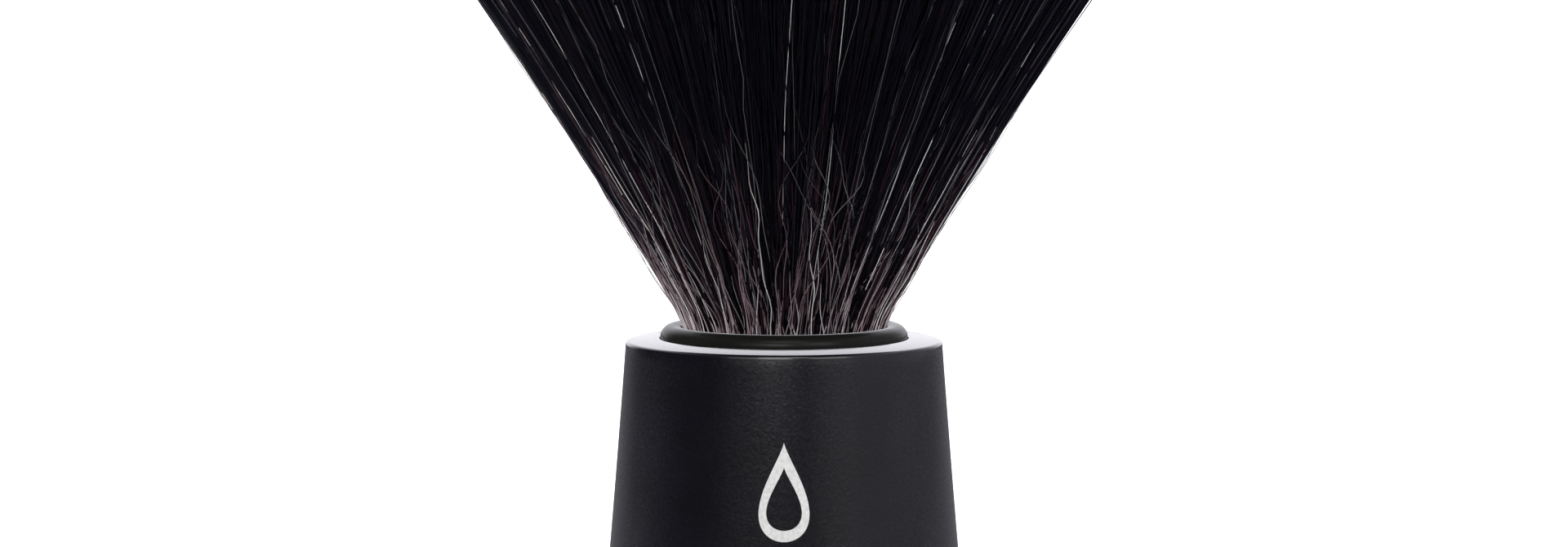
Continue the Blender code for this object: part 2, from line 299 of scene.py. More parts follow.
@dataclass(frozen=True)
class Polish(Finish):
    """Glossy moulded plastic with faint hairlines round the axis."""

    smear_mm: float = 3.0
    hairline_mm: float = 0.25
    hairline_depth_mm: float = 0.003
    hairline_run: Stretch = (0.06, 0.06, 1.0)

    def vary(self, recipe: Recipe) -> Sockets:
        """Hairlines and smears."""
        smear = recipe.noise(self.smear_mm, 3.0)
        lines = recipe.noise(self.hairline_mm, 1.0, recipe.place(self.hairline_run))
        return {
            "Roughness": smear.spread(0.3, 0.75, self.roughness - 0.04, self.roughness + 0.08),
            "Normal": recipe.bump(lines, self.hairline_depth_mm),
        }


@dataclass(frozen=True)
class Machined(Finish):
    """Turned metal: fine rings round the axis and light tarnish."""

    tarnish: Colour = (0.3, 0.3, 0.3)
    tarnish_mm: float = 4.0
    ring_mm: float = 0.18
    ring_depth_mm: float = 0.006
    ring_run: Stretch = (0.04, 0.04, 1.0)

    def vary(self, recipe: Recipe) -> Sockets:
        """Tool marks and tarnish."""
        rings = recipe.noise(self.ring_mm, 2.0, recipe.place(self.ring_run))
        spots = recipe.noise(self.tarnish_mm, 4.0)
        return {
            "Base Color": recipe.mix(spots.spread(0.5, 0.75), self.colour, self.tarnish),
            "Roughness": rings.spread(0.3, 0.7, self.roughness - 0.08, self.roughness + 0.12),
            "Normal": recipe.bump(rings, self.ring_depth_mm),
        }


@dataclass(frozen=True)
class Moulded(Finish):
    """Plain moulded rubber or plastic with a fine even grain."""

    grain_mm: float = 0.3
    grain_depth_mm: float = 0.02
    dust_mm: float = 6.0

    def vary(self, recipe: Recipe) -> Sockets:
        """Grain and dusty patches."""
        grain = recipe.noise(self.grain_mm, 3.0)
        dust = recipe.noise(self.dust_mm, 3.0)
        paler = tuple(min(1.0, channel * 1.6 + 0.01) for channel in self.colour)
        return {
            "Base Color": recipe.mix(dust.spread(0.5, 0.8), self.colour, paler),
            "Roughness": grain.spread(0.3, 0.7, self.roughness - 0.06, self.roughness + 0.06),
            "Normal": recipe.bump(grain, self.grain_depth_mm),
        }


@dataclass(frozen=True)
class CastResin(Finish):
    """Amber resin with cloudy flow."""

    flow_mm: float = 2.2
    flow_colour: Colour = (0.55, 0.36, 0.16)
    bubble_mm: float = 0.5
    bubble_depth_mm: float = 0.05

    def vary(self, recipe: Recipe) -> Sockets:
        """Cloudy flow and tiny bubbles."""
        flow = recipe.noise(self.flow_mm, 4.0)
        bubbles = recipe.noise(self.bubble_mm, 1.0)
        return {
            "Base Color": recipe.mix(flow.spread(0.35, 0.7), self.colour, self.flow_colour),
            "Normal": recipe.bump(bubbles.spread(0.62, 0.75), self.bubble_depth_mm),
        }


@dataclass(frozen=True)
class TwistedCord(Finish):
    """Cord with its strands laid along it."""

    fluff_mm: float = 0.25
    strand_mm: float = 0.5
    strand_run: Stretch = (1.0, 1.0, 0.35)
    strand_depth_mm: float = 0.12
    shade: float = 0.45

    def vary(self, recipe: Recipe) -> Sockets:
        """Strands and fluff, with painted shade in the grooves between strands."""
        fluff = recipe.noise(self.fluff_mm, 3.0)
        strands = recipe.noise(self.strand_mm, 2.0, recipe.place(self.strand_run))
        # dark: painted shade where the strands' bump is low, between them.
        dark = tuple(channel * self.shade for channel in self.colour)
        return {
            "Base Color": recipe.mix(strands.spread(0.35, 0.65), dark, self.colour),
            "Normal": recipe.bump(strands * 0.7 + fluff * 0.3, self.strand_depth_mm),
        }


@dataclass(frozen=True)
class PackedFibre(Finish):
    """The shaded inside of the bundle, streaked along the fibres."""

    streak_mm: float = 0.28
    streak_run: Stretch = (1.0, 1.0, 0.05)
    streak_depth_mm: float = 0.15
    streak_paler: float = 2.4

    def vary(self, recipe: Recipe) -> Sockets:
        """Streaks that run up the bundle."""
        streaks = recipe.noise(self.streak_mm, 2.0, recipe.place(self.streak_run))
        paler = tuple(channel * self.streak_paler for channel in self.colour)
        return {
            "Base Color": recipe.mix(streaks.spread(0.45, 0.75), self.colour, paler),
            "Normal": recipe.bump(streaks, self.streak_depth_mm),
        }


@dataclass(frozen=True)
class PrintedInk(Finish):
    """White print with slightly uneven cover."""

    cover_mm: float = 0.35
    thin_share: float = 0.82

    def vary(self, recipe: Recipe) -> Sockets:
        """Uneven cover."""
        cover = recipe.noise(self.cover_mm, 3.0)
        thin = tuple(channel * self.thin_share for channel in self.colour)
        return {
            "Base Color": recipe.mix(cover.spread(0.35, 0.6), thin, self.colour),
            "Roughness": cover.spread(0.3, 0.7, self.roughness - 0.05, self.roughness + 0.05),
        }


HANDLE_LACQUER = Lacquer(
    "satin_black_lacquer",
    (0.0030, 0.0029, 0.0050),
    0.26,
    specular=0.3,
    coat=0.6,
    coat_roughness=0.12,
)
COLLAR_POLISH = Polish("collar_polish", (0.0080, 0.0082, 0.0074), 0.27, specular=0.1)
WHITE_PRINT = PrintedInk("white_print", (0.86, 0.86, 0.84), 0.5)
CUP_PLASTIC = Moulded("cup_plastic", (0.016, 0.016, 0.017), 0.42)
SPACER_PLASTIC = Moulded("spacer_plastic", (0.05, 0.05, 0.052), 0.5)
FOOT_RUBBER = Moulded("foot_rubber", (0.02, 0.02, 0.02), 0.78, grain_mm=0.5, grain_depth_mm=0.05)
SEAL_RUBBER = Moulded("seal_rubber", (0.03, 0.03, 0.031), 0.62)
BRASS_TARNISH = (0.42, 0.27, 0.1)
SLEEVE_BRASS = Machined("sleeve_brass", (0.72, 0.5, 0.2), 0.34, 1.0, tarnish=BRASS_TARNISH)
BALLAST_STEEL = Machined("ballast_steel", (0.5, 0.5, 0.52), 0.36, metallic=1.0)
SCREW_STEEL = Machined("screw_steel", (0.62, 0.62, 0.64), 0.28, metallic=1.0)
GLUE_RESIN = CastResin("glue_resin", (0.3, 0.17, 0.06), 0.22)
BINDING_CORD = TwistedCord("binding_cord", (0.46, 0.4, 0.31), 0.85)
FIBRE_ROUGHNESS = 0.6
BUNDLE_SHADE = PackedFibre("bundle_shade", (0.0032, 0.003, 0.004), FIBRE_ROUGHNESS, specular=0.0)


# ---------------------------------------------------------------- mesh shop


def spaced(start: float, end: float, count: int) -> list[float]:
    """count + 1 values from start to end."""
    return [start + (end - start) * step / count for step in range(count + 1)]


def arc(centre: Span, radius: float, start: float, end: float, count: int) -> Outline:
    """Points on an arc, from start to end degrees, where 0 points outward and 90 up."""
    turns = [math.radians(angle) for angle in spaced(start, end, count)]
    return [(centre[0] + radius * math.cos(t), centre[1] + radius * math.sin(t)) for t in turns]


class Shop:
    """Turns points in millimetres above the deck into pieces in the frame."""

    weld: float = 1e-7
    sharp_angle: float = math.radians(40)

    @staticmethod
    def point(x: float, y: float, z: float) -> Vector:
        """A point in the frame's metres."""
        return Vector((x * MM, y * MM, (DECK + z) * MM))

    @staticmethod
    def place(name: str, data: bpy.types.ID) -> bpy.types.Object:
        """Puts a mesh, lamp or camera into the scene as an object of this name."""
        made = bpy.data.objects.new(name, data)
        bpy.context.scene.collection.objects.link(made)
        return made

    @classmethod
    def hang(
        cls, name: str, mesh: bpy.types.Mesh, finish: Finish, body: Body, slot: str
    ) -> bpy.types.Object:
        """Makes a mesh a piece that rides on a body.

        Args:
            name: The piece's name.
            mesh: Its mesh, in the frame's metres.
            finish: Its finish.
            body: The body it rides on.
            slot: Not used.

        Returns:
            The piece.
        """
        mesh.materials.append(finish.material())
        piece = cls.place(name, mesh)
        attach(piece, body.value)
        LOG.info("%s: %d faces on %s", name, len(mesh.polygons), body.value)
        return piece

    @classmethod
    def lathe(
        cls, name: str, outline: Outline, segments: int, shape: Callable | None = None
    ) -> bpy.types.Mesh:
        """A mesh turned from an outline.

        Args:
            name: The mesh's name.
            outline: (radius, height) points. On the axis at both ends, it is solid; else a ring.
            segments: Steps round the axis.
            shape: Called with the bmesh for changes before it is closed.

        Returns:
            The smooth-shaded mesh.
        """
        work = bmesh.new()
        points = [work.verts.new(cls.point(radius, 0.0, height)) for radius, height in outline]
        pairs = list(zip(points, points[1:]))
        if outline[0][0] > 0:
            pairs.append((points[-1], points[0]))
        edges = [work.edges.new(pair) for pair in pairs]
        bmesh.ops.spin(
            work,
            geom=points + edges,
            cent=(0, 0, 0),
            axis=(0, 0, 1),
            angle=math.tau,
            steps=segments,
            use_merge=True,
        )
        bmesh.ops.remove_doubles(work, verts=work.verts, dist=cls.weld)
        bmesh.ops.recalc_face_normals(work, faces=work.faces)
        if shape:
            shape(work)
        mesh = bpy.data.meshes.new(name)
        work.to_mesh(mesh)
        work.free()
        mesh.shade_smooth()
        mesh.set_sharp_from_angle(angle=cls.sharp_angle)
        return mesh

    @staticmethod
    def dress(node: str, finish: Finish) -> None:
        """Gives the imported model's piece of this name a finish."""
        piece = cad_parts[node]
        if not piece.material_slots:
            piece.data.materials.append(None)
        for holder in piece.material_slots:
            holder.material = finish.material()
        LOG.info("%s: dressed in %s", node, finish.name)


# ---------------------------------------------------------------- handle


@dataclass
class Handle:
    """The shell with its recess, mouth and screw posts, its print, and what closes its foot."""

    deck_radius: float = 16.07
    taper: float = 0.0733
    flare: float = 0.00028
    wall: float = 2.4
    deck_thickness: float = 3.4
    deck_flat: float = 13.2
    deck_fall: float = 0.25
    deck_fillet: float = 0.4
    foot_fillet: float = 1.5
    foot_lift: float = 0.9
    recess_radius: float = 12.7
    recess_depth: float = 1.7
    mouth_radius: float = 11.65
    post_count: int = 3
    post_circle: float = 14.2
    post_radius: float = 3.1
    post_length: float = 13.5
    post_gap: float = 0.3
    post_segments: int = 32
    pilot_radius: float = 1.4
    pilot_overrun: float = 2.0
    pilot_blind: float = 3.0
    segments: int = 192
    mark_top: float = -8.9
    mark_height: float = 9.9
    mark_width: float = 7.4
    mark_line: float = 1.12
    mark_relief: float = 0.03
    mark_sunk: float = 0.02
    mark_point: float = 1.6
    mark_top_line: float = 2.2
    mark_foot_line: float = 1.0

    def radius(self, height: float) -> float:
        """The outer radius at a height above the deck."""
        return self.deck_radius - self.taper * height + self.flare * height**2

    def outline(self) -> Outline:
        """The shell's section: from the mouth over the deck, down the side and back up inside."""
        foot = -DECK + self.foot_lift
        low = foot + self.foot_fillet
        edge = -self.deck_fall - self.deck_fillet
        mouth, recess = self.mouth_radius, self.recess_radius
        points: Outline = [(mouth, -self.deck_thickness), (mouth, -self.recess_depth)]
        points += [(recess, -self.recess_depth), (recess, 0.0), (self.deck_flat, 0.0)]
        fillet = (self.radius(edge) - self.deck_fillet, edge)
        points += arc(fillet, self.deck_fillet, 85, 4, 12)
        points += [(self.radius(height), height) for height in spaced(edge, low, 32)[1:-1]]
        fillet = (self.radius(low) - self.foot_fillet, low)
        points += arc(fillet, self.foot_fillet, -4, -90, 10)
        inside = spaced(foot, -self.deck_thickness, 10)
        return points + [(self.radius(height) - self.wall, height) for height in inside]

    def posts(self, shell: bpy.types.Object) -> None:
        """Joins the three drilled screw posts to the shell.

        Args:
            shell: The shell.
        """
        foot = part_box("base_plate")[1].z / MM - DECK + self.post_gap
        head = foot + self.post_length
        for number in range(self.post_count):
            turn = math.tau * number / self.post_count - math.pi / 2
            place = Vector((math.cos(turn), math.sin(turn), 0.0)) * self.post_circle * MM
            for radius, low, high, operation in (
                (self.post_radius, foot, head, "UNION"),
                (
                    self.pilot_radius,
                    foot - self.pilot_overrun,
                    head - self.pilot_blind,
                    "DIFFERENCE",
                ),
            ):
                outline = [(0, low), (radius, low), (radius, high), (0, high)]
                tool = Shop.place("post", Shop.lathe("post", outline, self.post_segments))
                tool.location = place
                modifier = shell.modifiers.new("post", "BOOLEAN")
                modifier.operation, modifier.object, modifier.solver = operation, tool, "EXACT"
                with bpy.context.temp_override(object=shell):
                    bpy.ops.object.modifier_apply(modifier=modifier.name)
                bpy.data.objects.remove(tool)

    def build_shell(self) -> None:
        """The tapered shell."""
        mesh = Shop.lathe("handle_body", self.outline(), self.segments)
        shell = Shop.hang("handle_body", mesh, HANDLE_LACQUER, Body.HANDLE, "handle")
        self.posts(shell)
        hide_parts("handle_shell")

    def drop_edge(self, inset: float, count: int) -> Outline:
        """The outline of a plain water drop, as (across, down) from its tip.

        Args:
            inset: How far inside the outer edge it runs.
            count: Points on it.

        Returns:
            The points, once round.
        """
        half = self.mark_width / 2 - inset
        tall = self.mark_height - inset * (self.mark_top_line + self.mark_foot_line)
        points = []
        for step in range(count):
            turn = math.tau * step / count
            across = half * math.sin(turn) * math.sin(turn / 2) ** self.mark_point
            points.append((across, inset * self.mark_top_line + tall * (1 - math.cos(turn)) / 2))
        return points

    def build_mark(self, count: int = 96) -> None:
        """A thin printed outline of a water drop on the front, a generic ornament."""
        line, sunk, relief = self.mark_line, -self.mark_sunk, self.mark_relief
        rings = []
        for inset, lift in ((0.0, sunk), (0.0, relief), (line, relief), (line, sunk)):
            ring = []
            for across, down in self.drop_edge(inset, count):
                height = self.mark_top - down
                radius = self.radius(height) + lift
                turn = across / radius - math.pi / 2
                ring.append(Shop.point(radius * math.cos(turn), radius * math.sin(turn), height))
            rings.append(ring)
        work = bmesh.new()
        loops = [[work.verts.new(point) for point in ring] for ring in rings]
        for first, second in zip(loops, loops[1:] + loops[:1]):
            for step in range(count):
                after = (step + 1) % count
                work.faces.new((first[step], second[step], second[after], first[after]))
        bmesh.ops.recalc_face_normals(work, faces=work.faces)
        mesh = bpy.data.meshes.new("drop_print")
        work.to_mesh(mesh)
        work.free()
        Shop.hang("drop_print", mesh, WHITE_PRINT, Body.HANDLE, "handle")

    def dress(self) -> None:
        """Finishes for the pieces inside and under the handle."""
        for node, finish in (
            ("thread_sleeve", SLEEVE_BRASS),
            ("base_plate", CUP_PLASTIC),
            ("foot_pad", FOOT_RUBBER),
            ("ballast_pad", SEAL_RUBBER),
            ("ballast_weight", BALLAST_STEEL),
            ("ballast_screw", SCREW_STEEL),
        ):
            Shop.dress(node, finish)
        for number in range(1, self.post_count + 1):
            Shop.dress(f"base_screw_{number}", SCREW_STEEL)


# ---------------------------------------------------------------- screw-in head


@dataclass
class Cartridge:
    """The collar and the threaded cup that the knot is set in."""

    roll_centre: Span = (11.4, 0.17)
    roll_radius: float = 1.18
    skirt: float = -0.5
    skirt_chamfer: float = 0.15
    lip_radius: float = 10.55
    lip_edge: float = 1.1
    collar_bore: float = 11.2
    under_lip: float = 0.8
    pitch: float = 2.5
    thread_depth: float = 0.6
    thread: Span = (-10.3, -3.2)
    thread_fade: float = 0.8
    cup_bore: float = 10.2
    cup_root: float = 10.7
    cup_neck: float = 10.9
    cup_top: float = 0.5
    cup_bottom: float = -17.2
    cup_floor: float = 1.6
    chamfer: float = 0.6
    rows_per_turn: int = 20
    wall_tolerance: float = 0.01
    segments: int = 192

    def build_collar(self) -> None:
        """The rolled ring, with its lip turned in over the cup.

        It isn't mirrored, so that the polished deck mirrors the room round it.
        """
        across, up = self.roll_centre
        inner = across - self.lip_radius
        outer = across + self.roll_radius
        drop = up + self.roll_radius - self.lip_edge
        outline = [(self.collar_bore, self.skirt), (outer - self.skirt_chamfer, self.skirt)]
        outline += [(outer, self.skirt + self.skirt_chamfer)]
        outline += arc(self.roll_centre, self.roll_radius, 0, 90, 24)
        for turn in [math.radians(angle) for angle in spaced(0, 90, 8)][1:]:
            height = self.lip_edge + drop * math.cos(turn)
            outline.append((across - inner * math.sin(turn), height))
        outline += [(self.lip_radius, self.under_lip), (self.collar_bore, self.under_lip)]
        mesh = Shop.lathe("collar_roll", outline, self.segments)
        piece = Shop.hang("collar_roll", mesh, COLLAR_POLISH, Body.HEAD, "collar")
        piece.visible_glossy = False
        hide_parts("collar_ring")

    def roll_thread(self, work: bmesh.types.BMesh) -> None:
        """Rolls the rounded thread into the cup's wall.

        Args:
            work: The turned cup.
        """
        low, high = self.thread
        for vertex in work.verts:
            height = vertex.co.z / MM - DECK
            radius = math.hypot(vertex.co.x, vertex.co.y) / MM
            if abs(radius - self.cup_root) > self.wall_tolerance or not low < height < high:
                continue
            wave = math.cos(math.tau * height / self.pitch - math.atan2(vertex.co.y, vertex.co.x))
            fade = min(1.0, (height - low) / self.thread_fade, (high - height) / self.thread_fade)
            scale = 1.0 + fade * self.thread_depth * (1.0 + wave) / 2.0 / radius
            vertex.co.x *= scale
            vertex.co.y *= scale

    def build_cup(self) -> None:
        """The threaded cup."""
        rows = round((self.thread[1] - self.thread[0]) / self.pitch * self.rows_per_turn)
        outline = [(0.0, self.cup_bottom), (self.cup_root - self.chamfer, self.cup_bottom)]
        outline += [(self.cup_root, self.cup_bottom + self.chamfer)]
        outline += [(self.cup_root, height) for height in spaced(*self.thread, rows)]
        outline += [(self.cup_neck, self.thread[1] + self.chamfer), (self.cup_neck, self.cup_top)]
        floor = self.cup_bottom + self.cup_floor
        outline += [(self.cup_bore, self.cup_top), (self.cup_bore, floor), (0.0, floor)]
        mesh = Shop.lathe("threaded_cup", outline, self.segments // 2, self.roll_thread)
        piece = Shop.hang("threaded_cup", mesh, CUP_PLASTIC, Body.HEAD, "cup")
        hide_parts("knot_cup")

    def dress(self) -> None:
        """Finishes for the pieces in the cup and under the collar."""
        for node, finish in (
            ("seal_washer", SEAL_RUBBER),
            ("loft_spacer", SPACER_PLASTIC),
            ("glue_plug", GLUE_RESIN),
            ("root_binding", BINDING_CORD),
        ):
            Shop.dress(node, finish)


# ---------------------------------------------------------------- knot of fibres


class Tone(Enum):
    """Families of fibre, each with four colours from the collar up. See Knot.tone_heights. Most
    families are paler near the collar: painted light bounced from the bright deck and painted
    highlights, since the fibres have no gloss of their own. The pale mauve, pewter and silver
    families are painted highlights on single strands.
    """

    INK = (
        (0.0060, 0.0046, 0.0061),
        (0.0075, 0.0060, 0.0084),
        (0.0092, 0.0080, 0.0120),
        (0.0086, 0.0086, 0.0138),
    )
    SLATE = (
        (0.034, 0.028, 0.038),
        (0.034, 0.029, 0.040),
        (0.028, 0.027, 0.040),
        (0.0145, 0.0155, 0.0240),
    )
    PLUM = (
        (0.076, 0.035, 0.044),
        (0.066, 0.027, 0.036),
        (0.046, 0.018, 0.027),
        (0.0170, 0.0100, 0.0150),
    )
    # Painted highlights on single strands, mauve, brightest near the collar.
    MAUVE_HIGHLIGHT = (
        (0.450, 0.345, 0.375),
        (0.270, 0.195, 0.220),
        (0.130, 0.093, 0.107),
        (0.050, 0.041, 0.048),
    )
    # Painted highlights on single strands, grey.
    PEWTER_HIGHLIGHT = (
        (0.330, 0.310, 0.320),
        (0.290, 0.275, 0.285),
        (0.210, 0.205, 0.212),
        (0.125, 0.125, 0.130),
    )
    # Painted highlights on single strands, the brightest of all.
    SILVER_HIGHLIGHT = (
        (0.900, 0.850, 0.860),
        (0.860, 0.820, 0.825),
        (0.800, 0.780, 0.770),
        (0.760, 0.750, 0.730),
    )

    def materials(self) -> list[bpy.types.Material]:
        """One finish for each stretch of the fibre, with no gloss of its own."""
        name = self.name.lower()
        # With no gloss, every shine on a fibre is painted into these colours.
        return [
            Finish(f"fibre_{name}_{number}", colour, FIBRE_ROUGHNESS, specular=0.0).material()
            for number, colour in enumerate(self.value)
        ]


@dataclass
class Strands:
    """Fibres as arrays: one row each."""

    paths: np.ndarray
    widths: np.ndarray
    shift: np.ndarray

    def subset(self, chosen: np.ndarray) -> "Strands":
        """The chosen fibres."""
        return Strands(self.paths[chosen], self.widths[chosen], self.shift[chosen])


@dataclass(frozen=True)
class Layer:
    """A kind of strand: how many there are of each tone, and how they run.

    Heights and lengths are in millimetres, angles in radians, and shares are of the bundle's
    radius. A span is drawn from evenly. A single number is the usual size of a small draw.
    """

    name: str
    counts: dict[Tone, int]
    shares: Span = (1.0, 1.0)
    ends: Span = (1.0, 1.0)
    end_scatter: float = 0.012
    drift: float = 0.05
    start: float = -1.5
    climb: float = 0.0
    reach: Span = (0.0, 0.0)
    tip_scatter: float = 0.5
    wave_size: float | Span = 0.1
    wave_length: Span = (14.0, 34.0)
    width: float | Span = 1.0
    steps: int = 30
    points: tuple[int, int] = (9, 9)

    def starts(self) -> Span:
        """The span of heights that the strands start in."""
        return self.start, self.start + self.climb


SKIRT = Layer(
    "skirt",
    {Tone.INK: 3150, Tone.SLATE: 620, Tone.PLUM: 700, Tone.MAUVE_HIGHLIGHT: 70},
    drift=0.035,
    start=-2.5,
    wave_size=0.16,
    wave_length=(7.0, 16.0),
    width=(0.8, 1.15),
    steps=40,
    points=(9, 8),
)
TIPS = Layer(
    "tips",
    {Tone.INK: 7000, Tone.SLATE: 1300, Tone.PLUM: 1300, Tone.PEWTER_HIGHLIGHT: 240},
    shares=(0.0, 0.86),
    drift=0.02,
    tip_scatter=0.45,
    steps=5,
)
FRINGE = Layer(
    "fringe",
    {Tone.SLATE: 90, Tone.MAUVE_HIGHLIGHT: 44, Tone.PEWTER_HIGHLIGHT: 24},
    shares=(0.97, 1.0),
    ends=(0.995, 1.022),
    start=-2.0,
    tip_scatter=0.6,
    wave_size=0.2,
    wave_length=(9.0, 22.0),
    width=0.6,
)
KINKS = Layer(
    "kinks",
    {Tone.MAUVE_HIGHLIGHT: 270, Tone.SILVER_HIGHLIGHT: 140},
    shares=(0.985, 1.035),
    drift=0.07,
    reach=(4.0, 22.0),
    wave_size=(0.05, 0.45),
    wave_length=(8.0, 19.0),
    width=(0.6, 1.0),
    steps=24,
    points=(16, 9),
)
CURLS = Layer(
    "curls",
    {Tone.MAUVE_HIGHLIGHT: 56, Tone.PEWTER_HIGHLIGHT: 40},
    shares=(1.0, 1.02),
    ends=(0.998, 1.01),
    drift=0.2,
    climb=8.5,
    reach=(16.5, 27.0),
    wave_size=(0.35, 1.0),
    wave_length=(12.0, 26.0),
    width=0.62,
    points=(16, 9),
)
STRAYS = Layer(
    "strays",
    {Tone.PEWTER_HIGHLIGHT: 24},
    shares=(0.985, 1.004),
    end_scatter=0.007,
    climb=11.5,
    reach=(16.0, 60.0),
    wave_size=0.12,
    width=0.62,
    points=(9, 12),
)
# Painted highlights: the brightest strays.
PALE_STRAYS = replace(STRAYS, counts={Tone.SILVER_HIGHLIGHT: 20}, width=0.78)
GLINTS = Layer(
    "glints",
    {Tone.PEWTER_HIGHLIGHT: 48},
    shares=(0.985, 1.003),
    drift=0.02,
    start=16.5,
    climb=15.5,
    reach=(5.0, 16.0),
    wave_size=0.08,
    width=0.5,
    steps=10,
)


@dataclass
class Knot:
    """The fan of fibres: a shaded core, whole fibres round it, a dome of tips, and strays."""

    root_radius: float = 9.4
    flare_start: float = -3.0
    flare_end: float = 4.5
    flare_bend: float = 0.0435
    fan_slope: float = 0.598
    fan_spread: float = 0.0011
    dome_edge: float = 42.0
    dome_top: float = 56.0
    fibre_radius: float = 0.07
    tip_taper: float = 7.0
    tip_share: float = 0.25
    wave_onset: float = 4.0
    wave_lift: float = 0.35
    ripple_wave: float = 0.53
    ripple_size: float = 0.5
    widest_end: float = 1.004
    skirt_skew: Span = (1.0, 1.6)
    skirt_depth: float = 0.15
    tip_overlap: float = 3.5
    kink_fall: Span = (0.0, 0.07)
    kink_growth: tuple[float, float, float] = (3.0, 2.0, 3.4)
    core_share: float = 0.9
    core_depth: float = 5.0
    core_narrows: float = 6.0
    core_gap: float = 0.05
    core_segments: int = 96
    binding_gap: float = 0.3
    binding_depth: float = 1.3
    cut: Span = (12.5, 15.5)
    lower_bend: Span = (1.5, 12.0)
    upper_bend: Span = (16.0, 34.0)
    # Heights where a fibre's colour steps; the paler colours below are painted light and painted
    # highlights.
    tone_heights: tuple[float, ...] = (4.0, 9.5, 19.0)
    tone_scatter: float = 2.5
    end_margin: float = 0.015
    sides: int = 3
    tuft_counts: tuple[int, ...] = (11, 17, 29, 43, 71)
    tuft_pull: float = 0.3
    tuft_height: float = 16.0
    tuft_least: float = 0.25
    seed: int = 20
    chance: np.random.Generator = field(init=False)
    tuft_phases: np.ndarray = field(init=False)

    def __post_init__(self) -> None:
        """Seeds the random draws."""
        self.chance = np.random.default_rng(self.seed)
        self.tuft_phases = self.chance.uniform(0, math.tau, len(self.tuft_counts))

    def gather(self, turn: np.ndarray, height: np.ndarray) -> np.ndarray:
        """Draws fibres together into loose tufts, most at the collar."""
        hold = np.clip(1.0 - height / self.tuft_height, self.tuft_least, 1.0) * self.tuft_pull
        tufts = zip(self.tuft_counts, self.tuft_phases)
        return turn + hold * sum(np.sin(count * turn + phase) / count for count, phase in tufts)

    def radius(self, height: np.ndarray) -> np.ndarray:
        """The bundle's radius at heights above the deck."""
        flare = np.clip(height, self.flare_start, self.flare_end) - self.flare_start
        bent = self.root_radius + self.flare_bend * flare**2
        rise = np.maximum(height - self.flare_end, 0.0)
        return bent + self.fan_slope * rise + self.fan_spread * rise**2

    def tip_height(self, share: np.ndarray) -> np.ndarray:
        """Where fibres end, by their share of the bundle's radius."""
        tall = self.dome_top - self.dome_edge
        return self.dome_edge + tall * np.cos(np.clip(share, 0, 1) * math.pi / 2)

    def draw(self, kind: float | Span, count: int) -> np.ndarray:
        """Even draws from a span, or mostly small ones of a usual size."""
        if isinstance(kind, tuple):
            return self.chance.uniform(*kind, count)
        return np.abs(self.chance.normal(0.0, kind, count))

    def turns(self, count: int) -> np.ndarray:
        """Angles spread evenly round the axis, in a random order."""
        places = np.arange(count) + self.chance.uniform(0, 1, count)
        return self.chance.permutation(places) * math.tau / count

    def drift(self, turns: np.ndarray, layer: Layer) -> Arrays:
        """The angles at both ends of a layer's strands."""
        return turns, turns + self.chance.normal(0.0, layer.drift, len(turns))

    def crimp(self, layer: Layer, count: int) -> Arrays:
        """The size and wavelength of a layer's waves."""
        return self.draw(layer.wave_size, count), self.draw(layer.wave_length, count)

    def grow(
        self,
        shares: Arrays,
        turns: Arrays,
        heights: Arrays,
        points: int,
        crimp: Arrays | None = None,
        width: float | np.ndarray = 1.0,
    ) -> Strands:
        """Fibres that run up the flow of the fan.

        Args:
            shares: Share of the bundle's radius at the start and the end.
            turns: Angle round the axis at the start and the end.
            heights: Height of the start and the end.
            points: Points along each fibre.
            crimp: Size and wavelength of a fibre's waves, in millimetres.
            width: Factor on the fibre's thickness.

        Returns:
            The fibres.
        """
        count = len(shares[0])
        along = np.linspace(0.0, 1.0, points)[None, :]
        height = heights[0][:, None] + (heights[1] - heights[0])[:, None] * along
        share = shares[0][:, None] + (shares[1] - shares[0])[:, None] * along
        turn = turns[0][:, None] + (turns[1] - turns[0])[:, None] * along
        turn = self.gather(turn, height)
        radius = share * self.radius(height)
        if crimp is not None:
            size, wave = crimp
            phase = self.chance.uniform(0, math.tau, (count, 3))
            swing = np.sin(math.tau * height / wave[:, None] + phase[:, :1])
            ripple = math.tau * height / (wave[:, None] * self.ripple_wave)
            swing += self.ripple_size * np.sin(ripple + phase[:, 1:2])
            fade = np.minimum(1.0, (height - height[:, :1]) / self.wave_onset)
            turn = turn + size[:, None] * swing * fade / np.maximum(radius, 1.0)
            lift = np.sin(math.tau * height / wave[:, None] + phase[:, 2:])
            radius = radius + self.wave_lift * size[:, None] * fade * lift
        paths = np.stack((radius * np.cos(turn), radius * np.sin(turn), height), axis=2)
        widths = np.full((count, points), self.fibre_radius) * np.reshape(width, (-1, 1))
        left = (1.0 - along) * (heights[1] - heights[0])[:, None]
        fine = self.tip_share
        widths = widths * np.clip(fine + (1.0 - fine) * left / self.tip_taper, fine, 1.0)
        return Strands(paths, widths, self.chance.normal(0.0, self.tone_scatter, count))

